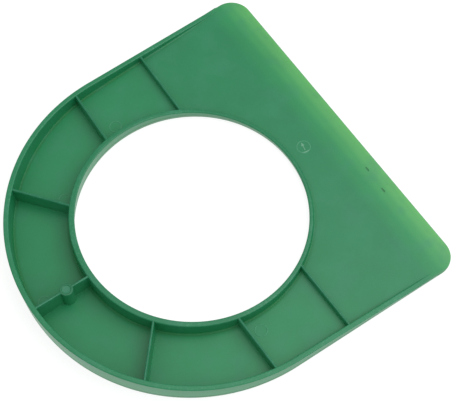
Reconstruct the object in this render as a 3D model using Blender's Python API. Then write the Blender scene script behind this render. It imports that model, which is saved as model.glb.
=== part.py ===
"""Practice putting cup: a D-shaped ramp moulded in one piece of green plastic, lying on its deck.

In play the rim stands on the ground and the ball rolls up the deck and drops through the hole.
Here the cup is turned over, with the deck's outer face on Z = 0 and its hollow side up. +X points
to the feathered front edge and +Y to the left side. The members of the moulding are separate
solids, parted from each other by a hairline. Sizes are in metres and angles in radians.
"""

from math import atan2, cos, hypot, pi, radians, sin, sqrt, tan

import bmesh
import bpy

# The outline, about the centre of its round back.
BACK_RADIUS = 0.0840
FRONT_X = 0.0846
CORNER_RADIUS = 0.010
SIDE_SPLAY = radians(1.6)
OUTER_DRAFT = radians(1.5)
INNER_DRAFT = radians(1.0)

# The deck and the walls that stand on it.
DECK_THICKNESS = 0.00235
DECK_EDGE_ROUND = 0.00125
FRONT_EDGE_HEIGHT = 0.00135
RIM_SLOPE = radians(4.5)
RIM_WALL = 0.0023

# The hole and its collar.
HOLE_X = -0.0008
HOLE_RADIUS = 0.054
HOLE_LIP = 0.0005
HOLE_DRAFT = radians(7.8)
COLLAR_RADIUS = 0.055

# Ribs. Each: its name, where its centre line leaves the long axis, and its heading. The ribs of
# the two sides are not quite mirror images.
RIB_THICKNESS = 0.0013
RIB_DROP = 0.0002
RIBS = (
    ("rib_front_left", 0.0247, radians(88.8)),
    ("rib_front_right", 0.02445, radians(-89.2)),
    ("rib_middle_left", -0.0131, radians(88.1)),
    ("rib_middle_right", -0.0125, radians(-89.7)),
    ("rib_diagonal_left", -0.0160, radians(128.7)),
    ("rib_diagonal_right", -0.0137, radians(-131.4)),
)

# The blind socket in the rear rib.
BOSS_X = -0.0665
BOSS_RADIUS = 0.0033
BORE_RADIUS = 0.0020
BORE_ROOF = 0.0012

HAIRLINE = 0.0003
LEAST_WALL = 0.00025
LEVEL_ROUNDS = 8
HALVINGS = 40
CLEAR = 0.005
ROUND_STEPS = 96
BOSS_STEPS = 24
CORNER_STEPS = 8
EDGE_STEPS = 3
SMOOTH_ANGLE = radians(30.0)

SEAT = DECK_THICKNESS + HAIRLINE
LIP_START_X = FRONT_X - (DECK_THICKNESS - FRONT_EDGE_HEIGHT) / tan(RIM_SLOPE)
WALL_END_X = FRONT_X - (SEAT + LEAST_WALL - FRONT_EDGE_HEIGHT) / tan(RIM_SLOPE)
SIDE_NORMAL = pi / 2 + SIDE_SPLAY

GREEN = (0.045, 0.235, 0.110, 1.0)
LIP_GREEN = (0.110, 0.400, 0.130, 1.0)
ROUGHNESS = 0.42


def clear_scene():
    """Takes every object out of the file."""
    for item in list(bpy.data.objects):
        bpy.data.objects.remove(item, do_unlink=True)


def plastic(name, color):
    """A moulded plastic of one colour."""
    material = bpy.data.materials.new(name)
    material.use_nodes = True
    shader = material.node_tree.nodes["Principled BSDF"]
    shader.inputs["Base Color"].default_value = color
    shader.inputs["Roughness"].default_value = ROUGHNESS
    shader.inputs["Metallic"].default_value = 0.0
    return material


# Heights and radii that several members share.


def rim_height(x):
    """Height of the rim plane, which stands on the ground in play, over the deck's outer face."""
    return FRONT_EDGE_HEIGHT + (FRONT_X - x) * tan(RIM_SLOPE)


def hole_radius(z):
    """Radius of the hole's wall, which narrows from its rounded lip towards the rim plane."""
    if z < HOLE_LIP:
        return HOLE_RADIUS - HOLE_LIP * sin(pi / 2 * z / HOLE_LIP)
    return HOLE_RADIUS - HOLE_LIP - (z - HOLE_LIP) * tan(HOLE_DRAFT)


def collar_radius(z):
    """Radius of the collar's outer face."""
    return COLLAR_RADIUS - z * tan(INNER_DRAFT)


def boss_radius(z):
    """Radius of the socket boss."""
    return BOSS_RADIUS - z * tan(INNER_DRAFT)


def outer_offset(z):
    """How far the outer face stands outside the deck's outline."""
    return z * tan(OUTER_DRAFT)


def inner_offset(z):
    """How far the rim's inner face lies from the deck's outline, negative inwards."""
    return z * tan(INNER_DRAFT) - RIM_WALL


def on_rim_plane(place, drop=0.0):
    """Where the path place(z) meets the rim plane, or a level a little under it."""
    z = DECK_THICKNESS
    for _ in range(LEVEL_ROUNDS):
        x, y = place(z)
        z = rim_height(x) - drop
    return (x, y, z)


# Room between a point (x, y) at height z and the face of a member.


def wall_room(x, y, z):
    """From a point inside the rim to the rim's inner face."""
    side = abs(y)
    if atan2(side, x) > SIDE_NORMAL:
        reach = hypot(x, side)
    else:
        reach = x * cos(SIDE_NORMAL) + side * sin(SIDE_NORMAL)
    return BACK_RADIUS + inner_offset(z) - reach


def collar_room(x, y, z):
    """From a point outside the collar to its outer face."""
    return hypot(x - HOLE_X, y) - collar_radius(z)


def boss_room(x, y, z):
    """From a point outside the boss to its face."""
    return hypot(x - BOSS_X, y) - boss_radius(z)


# Outlines and rings.


def spread(first, last, steps):
    """Evenly spaced values from first to last, both included."""
    return [first + (last - first) * step / steps for step in range(steps + 1)]


def arc_stations(center_x, center_y, radius, angles):
    """(position, outward direction) pairs along an arc."""
    return [
        ((center_x + radius * cos(angle), center_y + radius * sin(angle)), (cos(angle), sin(angle)))
        for angle in angles
    ]


def outline_stations():
    """Stations round the whole outline, anticlockwise from the front left corner."""
    corner_x = FRONT_X - CORNER_RADIUS
    reach = BACK_RADIUS - CORNER_RADIUS - corner_x * cos(SIDE_NORMAL)
    corner_y = reach / sin(SIDE_NORMAL)
    left = spread(0.0, SIDE_NORMAL, CORNER_STEPS)
    back = spread(SIDE_NORMAL, 2 * pi - SIDE_NORMAL, ROUND_STEPS // 2)
    right = spread(-SIDE_NORMAL, 0.0, CORNER_STEPS)
    return (
        arc_stations(corner_x, corner_y, CORNER_RADIUS, left)
        + arc_stations(0.0, 0.0, BACK_RADIUS, back)
        + arc_stations(corner_x, -corner_y, CORNER_RADIUS, right)
    )


def moved(station, offset):
    """The station's position, moved outwards by offset."""
    (x, y), (nx, ny) = station
    return (x + nx * offset, y + ny * offset)


def outline_ring(stations, offset, z):
    """The outline at one height, moved outwards by offset."""
    return [(*moved(station, offset), z) for station in stations]


def turns(steps):
    """Angles of a full turn, without its end."""
    return spread(0.0, 2 * pi, steps)[:-1]


def circle(center_x, radius, z, steps=ROUND_STEPS):
    """A level circle about a point of the long axis."""
    return [(center_x + radius * cos(a), radius * sin(a), z) for a in turns(steps)]


def rim_point(center_x, radius_at, angle, drop):
    """Where a round face meets the rim plane, in one direction from its axis."""

    def place(z):
        return (center_x + radius_at(z) * cos(angle), radius_at(z) * sin(angle))

    return on_rim_plane(place, drop)


def rim_circle(center_x, radius_at, drop=0.0, steps=ROUND_STEPS):
    """The curve in which a round face meets the rim plane."""
    return [rim_point(center_x, radius_at, angle, drop) for angle in turns(steps)]


# Solids.


def finish(name, mesh_data, material, frame):
    """Turns a bmesh into a named object with its faces out and its round faces smooth."""
    bmesh.ops.recalc_face_normals(mesh_data, faces=mesh_data.faces)
    mesh = bpy.data.meshes.new(name)
    mesh_data.to_mesh(mesh)
    mesh_data.free()
    mesh.shade_smooth()
    mesh.set_sharp_from_angle(angle=SMOOTH_ANGLE)
    item = bpy.data.objects.new(name, mesh)
    bpy.context.scene.collection.objects.link(item)
    item.parent = frame
    if material:
        mesh.materials.append(material)
    return item


def bridge(mesh_data, first, second):
    """Joins two rings of the same number of points with a band of faces."""
    for index in range(len(first)):
        after = (index + 1) % len(first)
        mesh_data.faces.new((first[index], first[after], second[after], second[index]))


def loft(name, rings, material, frame, capped=True):
    """A skin over a stack of rings, capped at both ends or closed into a tube."""
    mesh_data = bmesh.new()
    loops = [[mesh_data.verts.new(point) for point in points] for points in rings]
    for first, second in zip(loops, loops[1:]):
        bridge(mesh_data, first, second)
    if capped:
        mesh_data.faces.new(loops[0])
        mesh_data.faces.new(loops[-1])
    else:
        bridge(mesh_data, loops[-1], loops[0])
    return finish(name, mesh_data, material, frame)


def cutter(name, rings, frame):
    """A helper solid that only cuts others."""
    item = loft(name, rings, None, frame)
    item.hide_render = True
    item.display_type = "WIRE"
    return item


def carve(item, tool, operation="DIFFERENCE"):
    """Cuts an object with a helper."""
    modifier = item.modifiers.new(tool.name, "BOOLEAN")
    modifier.operation = operation
    modifier.solver = "EXACT"
    modifier.object = tool


def block_rings(ends, bottom):
    """A block across the whole width. ends: the x and the top's height at either end."""
    half = BACK_RADIUS + CLEAR
    return [[(x, -half, bottom), (x, half, bottom), (x, half, top), (x, -half, top)] for x, top in ends]


# Members of the moulding.


def slab_rings(top):
    """The deck's outline, from its rounded outer edge up to a height."""
    stations = outline_stations()
    rings = []
    for angle in spread(0.0, pi / 2, EDGE_STEPS):
        z = DECK_EDGE_ROUND * (1 - cos(angle))
        inset = DECK_EDGE_ROUND * (1 - sin(angle))
        rings.append(outline_ring(stations, outer_offset(z) - inset, z))
    rings.append(outline_ring(stations, outer_offset(top), top))
    return rings


def make_deck(material, frame):
    """The flat plate that the ball rolls over, with the hole and the mouth of the socket."""
    deck = loft("deck_plate", slab_rings(DECK_THICKNESS), material, frame)
    above = DECK_THICKNESS + CLEAR
    hole = [circle(HOLE_X, HOLE_RADIUS, -CLEAR)]
    hole += [circle(HOLE_X, hole_radius(z), z) for z in spread(0.0, HOLE_LIP, EDGE_STEPS)]
    hole.append(circle(HOLE_X, hole_radius(above), above))
    carve(deck, cutter("hole_cutter", hole, frame))
    bore = [circle(BOSS_X, BORE_RADIUS, z, BOSS_STEPS) for z in (-CLEAR, above)]
    carve(deck, cutter("bore_cutter", bore, frame))
    front = ((LIP_START_X - HAIRLINE, CLEAR), (FRONT_X + CLEAR, CLEAR))
    carve(deck, cutter("front_cutter", block_rings(front, -CLEAR), frame))


def make_front_lip(material, frame):
    """The solid nose in front of the hollow, feathered to the edge where the ball rolls on."""
    lip = loft("front_lip", slab_rings(SEAT), material, frame)
    ends = [(x, rim_height(x)) for x in (LIP_START_X, FRONT_X + CLEAR)]
    carve(lip, cutter("lip_keeper", block_rings(ends, -CLEAR), frame), "INTERSECT")


def wall_section(station):
    """The rim's section at one station: outer foot, outer top, inner top and inner foot."""
    return [
        (*moved(station, outer_offset(SEAT)), SEAT),
        on_rim_plane(lambda z: moved(station, outer_offset(z))),
        on_rim_plane(lambda z: moved(station, inner_offset(z))),
        (*moved(station, inner_offset(SEAT)), SEAT),
    ]


def make_wall(name, stations, material, frame):
    """A run of the rim, from its seat on the deck up to the rim plane."""
    loft(name, [wall_section(station) for station in stations], material, frame)


def make_rim(material, frame):
    """The rear wall round the back and the two side walls that run out towards the front."""
    trim = HAIRLINE / 2 / BACK_RADIUS
    angles = spread(SIDE_NORMAL + trim, 2 * pi - SIDE_NORMAL - trim, ROUND_STEPS // 2)
    make_wall("rear_rim_wall", arc_stations(0.0, 0.0, BACK_RADIUS, angles), material, frame)
    nx, ny = cos(SIDE_NORMAL), sin(SIDE_NORMAL)
    length = (WALL_END_X - BACK_RADIUS * nx) / ny
    for name, side in (("side_wall_left", 1), ("side_wall_right", -1)):
        stations = []
        for along in (HAIRLINE / 2, length):
            x = BACK_RADIUS * nx + ny * along
            y = BACK_RADIUS * ny - nx * along
            stations.append(((x, side * y), (nx, side * ny)))
        make_wall(name, stations, material, frame)


def make_collar(material, frame):
    """The ring wall round the hole."""
    rings = [
        circle(HOLE_X, collar_radius(SEAT), SEAT),
        rim_circle(HOLE_X, collar_radius),
        rim_circle(HOLE_X, hole_radius),
        circle(HOLE_X, hole_radius(SEAT), SEAT),
    ]
    loft("hole_collar", rings, material, frame, capped=False)


def make_boss(material, frame):
    """The blind socket at the back, open at the deck's outer face and roofed near the rim plane."""
    roof = rim_height(BOSS_X + BOSS_RADIUS) - RIB_DROP - BORE_ROOF
    rings = [
        circle(BOSS_X, BORE_RADIUS, roof, BOSS_STEPS),
        circle(BOSS_X, BORE_RADIUS, SEAT, BOSS_STEPS),
        circle(BOSS_X, boss_radius(SEAT), SEAT, BOSS_STEPS),
        rim_circle(BOSS_X, boss_radius, RIB_DROP, BOSS_STEPS),
    ]
    loft("socket_boss", rings, material, frame)


def rib_point(edge, along):
    """A point of one long edge of a rib. edge: start on the long axis, heading, side, at its foot."""
    start_x, heading, side, at_foot = edge
    x = start_x + along * cos(heading) - side * sin(heading)
    y = along * sin(heading) + side * cos(heading)
    return (x, y, SEAT if at_foot else rim_height(x) - RIB_DROP)


def rib_end(edge, room, clear, buried):
    """Where a rib's edge stops, a hairline short of a member that it meets between two reaches."""
    for _ in range(HALVINGS):
        middle = (clear + buried) / 2
        if room(*rib_point(edge, middle)) > HAIRLINE:
            clear = middle
        else:
            buried = middle
    return rib_point(edge, clear)


def make_rib(name, start_x, heading, clear, ends, material, frame):
    """A thin plate between two members, each end given as its room and a reach inside the member."""
    half = RIB_THICKNESS / 2
    sides = ((-half, True), (-half, False), (half, False), (half, True))
    sections = []
    for room, buried in ends:
        edges = [(start_x, heading, side, at_foot) for side, at_foot in sides]
        sections.append([rib_end(edge, room, clear, buried) for edge in edges])
    loft(name, sections, material, frame)


def make_ribs(material, frame):
    """The ribs that tie the collar to the rim. The rear one is cut in two by the boss."""
    collar_end = (collar_room, 0.0)
    boss_end = (boss_room, -BOSS_X)
    wall_end = (wall_room, 2 * BACK_RADIUS)
    between = (COLLAR_RADIUS + BACK_RADIUS) / 2
    for name, start_x, heading in RIBS:
        clear = sqrt(between**2 - (start_x * sin(heading)) ** 2) - start_x * cos(heading)
        make_rib(name, start_x, heading, clear, (collar_end, wall_end), material, frame)
    clear = (COLLAR_RADIUS - BOSS_X) / 2
    make_rib("rib_rear_inner", 0.0, pi, clear, (collar_end, boss_end), material, frame)
    clear = (BACK_RADIUS - BOSS_X) / 2
    make_rib("rib_rear_outer", 0.0, pi, clear, (boss_end, wall_end), material, frame)


def make_frame():
    """An empty that puts the middle of the whole part's length over the origin."""
    back_x = on_rim_plane(lambda z: (-BACK_RADIUS - outer_offset(z), 0.0))[0]
    front_x = FRONT_X + outer_offset(FRONT_EDGE_HEIGHT)
    frame = bpy.data.objects.new("frame", None)
    frame.location.x = -(back_x + front_x) / 2
    bpy.context.scene.collection.objects.link(frame)
    return frame


def main():
    """Builds the putting cup."""
    clear_scene()
    frame = make_frame()
    green = plastic("green_plastic", GREEN)
    make_deck(green, frame)
    make_front_lip(plastic("thin_green_plastic", LIP_GREEN), frame)
    make_rim(green, frame)
    make_collar(green, frame)
    make_boss(green, frame)
    make_ribs(green, frame)


main()
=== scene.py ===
"""Practice putting cup, a D-shaped ramp moulded in satin green plastic, lying hollow side up.

Each member of the moulding is a finished piece that stands for one solid of the frame. Lengths are
in metres and angles in radians. +X points to the feathered front edge and +Z out of the hollow.
"""

import logging
from dataclasses import dataclass, replace
from enum import Enum
from math import acos, atan2, copysign, cos, pi, radians, sin, sqrt, tan
from typing import Callable, Iterable, Optional, Sequence, Union

import bmesh
import bpy
from mathutils import Matrix, Vector


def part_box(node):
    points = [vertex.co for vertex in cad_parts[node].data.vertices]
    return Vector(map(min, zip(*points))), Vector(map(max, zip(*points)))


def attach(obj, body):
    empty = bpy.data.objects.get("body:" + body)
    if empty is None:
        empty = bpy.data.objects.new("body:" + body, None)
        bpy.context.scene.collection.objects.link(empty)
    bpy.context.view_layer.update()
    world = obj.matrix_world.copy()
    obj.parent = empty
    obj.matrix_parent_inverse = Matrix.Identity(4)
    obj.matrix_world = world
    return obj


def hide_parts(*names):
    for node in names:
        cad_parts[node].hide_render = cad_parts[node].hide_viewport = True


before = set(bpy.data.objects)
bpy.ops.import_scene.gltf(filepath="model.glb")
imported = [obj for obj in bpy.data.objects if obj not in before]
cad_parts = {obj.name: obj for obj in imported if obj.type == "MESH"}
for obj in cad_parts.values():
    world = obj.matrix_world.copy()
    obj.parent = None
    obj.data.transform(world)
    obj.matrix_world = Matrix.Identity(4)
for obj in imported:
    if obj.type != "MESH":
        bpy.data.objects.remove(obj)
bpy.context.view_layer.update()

LOG = logging.getLogger("putting_cup")

Point2 = tuple[float, float]
Point3 = tuple[float, float, float]
Color = tuple[float, float, float]
Stops = tuple[tuple[float, Color], ...]
Number = Union[int, float]
Face = Callable[[float], float]
Ring = list[Point3]

MM = 0.001
BODY = "root"

# How far feet reach under the floor, and how far a fillet's toe reaches in radii of the fillet.
SINK = 0.02 * MM
FILLET_TOE = 1.3
# The largest share of an edge that a rounding may take up, and the segments in each rounding.
MOST_ROUNDING = 0.96
ROUND_STEPS = 5
MERGE = 1e-7
SMOOTH_ANGLE = radians(32.0)
FACE_WEIGHT = 80


class Slot(str, Enum):
    """Material slots of the record."""

    THICK = "green_plastic"
    THIN = "thin_green_plastic"


class Side(Enum):
    """The two halves of the cup, each with the sign of its Y."""

    LEFT = 1
    RIGHT = -1

    @property
    def word(self) -> str:
        """The side's name in small letters."""
        return self.name.lower()


def spread(first: float, last: float, steps: int) -> list[float]:
    """Evenly spaced values from first to last, both included."""
    return [first + (last - first) * step / steps for step in range(steps + 1)]


def turns(steps: int) -> list[float]:
    """Directions all the way round, without the end of the turn."""
    return spread(0.0, 2 * pi, steps)[:-1]


# Sizes that several members share.


@dataclass(frozen=True)
class CupSizes:
    """The moulding's sizes, about the centre of its round back, which lies at origin_x."""

    origin_x: float
    back_radius: float = 84.0 * MM
    front_x: float = 84.6 * MM
    corner_radius: float = 10.0 * MM
    side_splay: float = radians(1.6)
    outer_draft: float = radians(1.5)
    inner_draft: float = radians(1.0)
    floor: float = 2.35 * MM
    edge_round: float = 1.25 * MM
    front_edge: float = 1.35 * MM
    rim_slope: float = radians(4.5)
    rim_wall: float = 2.3 * MM
    hole_x: float = -0.8 * MM
    hole_radius: float = 54.0 * MM
    hole_lip: float = 0.5 * MM
    hole_draft: float = radians(7.8)
    collar_radius: float = 55.0 * MM
    boss_x: float = -66.5 * MM
    boss_radius: float = 3.3 * MM
    bore_radius: float = 2.0 * MM

    @classmethod
    def from_frame(cls) -> "CupSizes":
        """Places the sizes by the collar of the frame, which is round about the hole."""
        low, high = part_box("hole_collar")
        return cls(origin_x=(low.x + high.x) / 2 - cls.hole_x)

    @property
    def side_normal(self) -> float:
        """Direction of the left side wall's outward normal."""
        return pi / 2 + self.side_splay

    @property
    def lip_x(self) -> float:
        """Where the rim plane comes down to the floor, and the solid lip begins."""
        return self.front_x - (self.floor - self.front_edge) / tan(self.rim_slope)

    def rim_height(self, x: float) -> float:
        """Height of the rim plane over the deck's outer face.

        Args:
            x: Distance in front of the back's centre.

        Returns:
            The height in metres.
        """
        return self.front_edge + (self.front_x - x) * tan(self.rim_slope)

    def outer_offset(self, z: float) -> float:
        """How far the outer face stands outside the outline at height z."""
        return z * tan(self.outer_draft)

    def inner_offset(self, z: float) -> float:
        """How far the rim's inner face lies from the outline at height z, negative inwards."""
        return z * tan(self.inner_draft) - self.rim_wall

    def hole_face(self, z: float) -> float:
        """Radius of the hole's wall at height z, above its rounded lip."""
        return self.hole_radius - self.hole_lip - (z - self.hole_lip) * tan(self.hole_draft)

    def collar_face(self, z: float) -> float:
        """Radius of the collar's outer face at height z."""
        return self.collar_radius - z * tan(self.inner_draft)

    def placed(self, x: float, y: float, z: float) -> Point3:
        """A point about the back's centre, put where the frame has it."""
        return (x + self.origin_x, y, z)

    def circle(
        self, center_x: float, radius: float, z: float, steps: int, tilt: float = 0.0
    ) -> Ring:
        """A circle about a point of the long axis.

        Args:
            center_x: The point.
            radius: The circle's radius.
            z: Height of its middle.
            steps: Number of its points.
            tilt: How fast it falls towards the front.

        Returns:
            Its points.
        """
        points = []
        for angle in turns(steps):
            x = radius * cos(angle)
            points.append(self.placed(center_x + x, radius * sin(angle), z - tilt * x))
        return points

    @staticmethod
    def top(face: Face, height: float, fall: float) -> float:
        """Height at which a leaning face meets the rim plane.

        Args:
            face: The face's offset along a section at a height.
            height: The plane's height where the offset is nothing.
            fall: How fast the plane falls along the section.

        Returns:
            The height in metres.
        """
        zero = face(0.0)
        return (height - fall * zero) / (1 + fall * (face(1.0) - zero))


@dataclass(frozen=True)
class Station:
    """A place on the outline with the direction in which its section is laid out."""

    x: float
    y: float
    away_x: float
    away_y: float

    def at(self, offset: float) -> Point2:
        """The station's place, moved outwards by offset."""
        return (self.x + self.away_x * offset, self.y + self.away_y * offset)


@dataclass(frozen=True)
class Outline:
    """The D-shaped outline of the deck: a round back, two straight sides and a front."""

    sizes: CupSizes
    back_steps: int = 160
    corner_steps: int = 16

    def arc(
        self, center: Point2, radius: float, first: float, last: float, steps: int
    ) -> list[Station]:
        """Stations along an arc.

        Args:
            center: The arc's centre.
            radius: Its radius.
            first: Direction of the first station from the centre.
            last: Direction of the last one.
            steps: Number of steps between them.

        Returns:
            One station more than there are steps.
        """
        stations = []
        for angle in spread(first, last, steps):
            away = (cos(angle), sin(angle))
            place = (center[0] + radius * away[0], center[1] + radius * away[1])
            stations.append(Station(*place, *away))
        return stations

    def back(self) -> list[Station]:
        """The round back, from the left tangent point to the right one."""
        first = self.sizes.side_normal
        return self.arc((0.0, 0.0), self.sizes.back_radius, first, 2 * pi - first, self.back_steps)

    def on_side(self, x: float, side: Side) -> Station:
        """The place on a straight side that keeps its x when it is moved outwards.

        Args:
            x: Distance in front of the back's centre.
            side: Which side.

        Returns:
            The station.
        """
        normal = self.sizes.side_normal
        y = (self.sizes.back_radius - x * cos(normal)) / sin(normal)
        return Station(x, side.value * y, 0.0, side.value / sin(normal))

    def front(self) -> list[Station]:
        """The front with its two round corners.

        Returns:
            The stations, from the lip's right end to its left one.
        """
        sizes = self.sizes
        normal = sizes.side_normal
        radius = sizes.corner_radius
        x = sizes.front_x - radius
        y = (sizes.back_radius - radius - x * cos(normal)) / sin(normal)
        right = self.arc((x, -y), radius, -normal, 0.0, self.corner_steps)
        left = self.arc((x, y), radius, 0.0, normal, self.corner_steps)
        end, start = (self.on_side(sizes.lip_x, side) for side in Side)
        return [start, *right, *left, end]

    def rear(self) -> list[Station]:
        """The outline behind the lip, from its left end round the back to its right end."""
        start, end = (self.on_side(self.sizes.lip_x, side) for side in Side)
        return [start, *self.back(), end]


# Sections and skins.


@dataclass(frozen=True)
class Corner:
    """A corner of a section, with the radius that rounds it."""

    across: float
    up: float
    radius: float = 0.0


def rounded(corners: Sequence[Corner], steps: int = ROUND_STEPS) -> list[Point2]:
    """An open path with its inner corners rounded.

    Args:
        corners: The path's corners. The first and the last one stay sharp.
        steps: Segments in each rounding.

    Returns:
        The same number of points whatever the sizes.
    """
    last = len(corners) - 1
    path = [(corners[0].across, corners[0].up)]
    for index in range(1, last):
        here = Vector((corners[index].across, corners[index].up))
        back = Vector((corners[index - 1].across, corners[index - 1].up)) - here
        ahead = Vector((corners[index + 1].across, corners[index + 1].up)) - here
        room = min(
            back.length / (1 if index == 1 else 2),
            ahead.length / (1 if index == last - 1 else 2),
        )
        back.normalize()
        ahead.normalize()
        half = acos(max(-1.0, min(1.0, back.dot(ahead)))) / 2
        reach = min(corners[index].radius / tan(half), MOST_ROUNDING * room)
        center = here + (back + ahead).normalized() * (reach / cos(half))
        first = here + back * reach - center
        final = here + ahead * reach - center
        sweep = pi - 2 * half
        for share in spread(0.0, 1.0, steps):
            turned = first * sin((1 - share) * sweep) + final * sin(share * sweep)
            path.append(tuple(center + turned / sin(sweep)))
    path.append((corners[last].across, corners[last].up))
    return path


def fillet(foot: float, floor: float, root: float, way: float = 1.0) -> list[Corner]:
    """The two last corners of a section that ends in a fillet on the floor.

    Args:
        foot: Where the face meets the floor.
        floor: The floor's height.
        root: The fillet's radius.
        way: 1 or -1, the direction in which its toe runs.

    Returns:
        The foot, and the toe a little under the floor.
    """
    return [Corner(foot, floor, root), Corner(foot + way * FILLET_TOE * root, floor - SINK)]


def close_up(work: bmesh.types.BMesh, mesh: bpy.types.Mesh) -> None:
    """Merges double points, turns the faces out and writes the mesh, which ends the work.

    Args:
        work: The mesh under construction.
        mesh: The mesh that takes it.
    """
    bmesh.ops.remove_doubles(work, verts=work.verts, dist=MERGE)
    bmesh.ops.recalc_face_normals(work, faces=work.faces)
    work.to_mesh(mesh)
    work.free()


class Skin:
    """A mesh under construction, made of rings and bands of faces."""

    def __init__(self, name: str) -> None:
        """Starts an empty mesh.

        Args:
            name: Name of the piece that it becomes.
        """
        self.name = name
        self.work = bmesh.new()

    def ring(self, points: Iterable[Point3]) -> list[bmesh.types.BMVert]:
        """Adds a ring of vertices."""
        return [self.work.verts.new(point) for point in points]

    def band(self, first: list, second: list, closed: bool = True) -> None:
        """Joins two rings with faces.

        Args:
            first: A ring of vertices.
            second: A ring of as many vertices.
            closed: Whether the band runs all the way round.
        """
        count = len(first)
        for index in range(count if closed else count - 1):
            after = (index + 1) % count
            self.work.faces.new((first[index], first[after], second[after], second[index]))

    def cap(self, ring: list) -> None:
        """Closes a ring with one flat face."""
        self.work.faces.new(ring)

    def skirt(self, stack: Iterable[Iterable[Point3]]) -> list[list]:
        """Joins a stack of rings with bands.

        Args:
            stack: The points of each ring, in order.

        Returns:
            The rings of vertices.
        """
        rings = [self.ring(points) for points in stack]
        for first, second in zip(rings, rings[1:]):
            self.band(first, second)
        return rings

    def sheet(self, *rings: list) -> None:
        """Fills a level sheet between an outer ring and any holes in it.

        Args:
            *rings: The rings that bound it.
        """
        known = self.work.edges
        edges = []
        for ring in rings:
            for first, second in zip(ring, ring[1:] + ring[:1]):
                edges.append(known.get((first, second)) or known.new((first, second)))
        bmesh.ops.triangle_fill(self.work, use_beauty=True, use_dissolve=False, edges=edges)

    def loft(self, stack: Iterable[Iterable[Point3]], round_trip: bool = False) -> None:
        """Skins a stack of closed rings.

        Args:
            stack: The rings in order, each with the same number of points.
            round_trip: Whether the last ring joins the first, instead of two end caps.
        """
        rings = self.skirt(stack)
        if round_trip:
            self.band(rings[-1], rings[0])
        else:
            self.cap(rings[0])
            self.cap(rings[-1])

    def piece(self) -> bpy.types.Object:
        """Turns the mesh into an object with its faces out.

        Returns:
            The object, at the origin and linked to the scene.
        """
        mesh = bpy.data.meshes.new(self.name)
        close_up(self.work, mesh)
        item = bpy.data.objects.new(self.name, mesh)
        bpy.context.scene.collection.objects.link(item)
        return item


def settle(item: bpy.types.Object) -> bpy.types.Object:
    """Turns a piece and its modifiers into a plain mesh that is shaded smooth over its roundings.

    Args:
        item: The piece, whose modifiers are applied and removed.

    Returns:
        The same object.
    """
    applied(item)
    item.data.shade_smooth()
    item.data.set_sharp_from_angle(angle=SMOOTH_ANGLE)
    weighted = item.modifiers.new("even_shading", "WEIGHTED_NORMAL")
    weighted.mode = "FACE_AREA"
    weighted.weight = FACE_WEIGHT
    weighted.keep_sharp = True
    return applied(item)


def applied(item: bpy.types.Object) -> bpy.types.Object:
    """Replaces an object's mesh by its evaluated one and takes its modifiers off.

    Args:
        item: The object.

    Returns:
        The same object.
    """
    if item.modifiers:
        bpy.context.view_layer.update()
        graph = bpy.context.evaluated_depsgraph_get()
        mesh = bpy.data.meshes.new_from_object(item.evaluated_get(graph), depsgraph=graph)
        mesh.name = item.name
        item.modifiers.clear()
        item.data = mesh
    return item


# Node trees, for shaders and for geometry.


class Signal:
    """A node's output that Python's operators work on."""

    def __init__(self, graph: "Graph", socket: bpy.types.NodeSocket) -> None:
        """Wraps a socket.

        Args:
            graph: The tree that the socket belongs to.
            socket: The output socket.
        """
        self.graph = graph
        self.socket = socket

    def math(self, operation: str, *values: "Feed") -> "Signal":
        """Applies a Math node, with this signal as its first value."""
        return self.graph.math(operation, self, *values)

    def __add__(self, other: "Feed") -> "Signal":
        """Sum."""
        return self.math("ADD", other)

    __radd__ = __add__

    def __sub__(self, other: "Feed") -> "Signal":
        """Difference."""
        return self.math("SUBTRACT", other)

    def __rsub__(self, other: "Feed") -> "Signal":
        """Difference from a number."""
        return self.graph.math("SUBTRACT", other, self)

    def __mul__(self, other: "Feed") -> "Signal":
        """Product."""
        return self.math("MULTIPLY", other)

    __rmul__ = __mul__

    def __truediv__(self, other: "Feed") -> "Signal":
        """Quotient."""
        return self.math("DIVIDE", other)

    def ramp(self, low: float, high: float, kind: str = "SMOOTHSTEP") -> "Signal":
        """Runs from 0 at low to 1 at high.

        Args:
            low: Value that gives 0.
            high: Value that gives 1. It may be the smaller one.
            kind: The Map Range node's interpolation.

        Returns:
            The share, kept from 0 to 1.
        """
        ends = (low, high, 0.0, 1.0) if low < high else (high, low, 1.0, 0.0)
        sockets = dict(zip(("From Min", "From Max", "To Min", "To Max"), ends))
        return self.graph.node(
            "ShaderNodeMapRange", {"interpolation_type": kind}, {"Value": self, **sockets}
        )


Feed = Union[Signal, Number]


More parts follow.
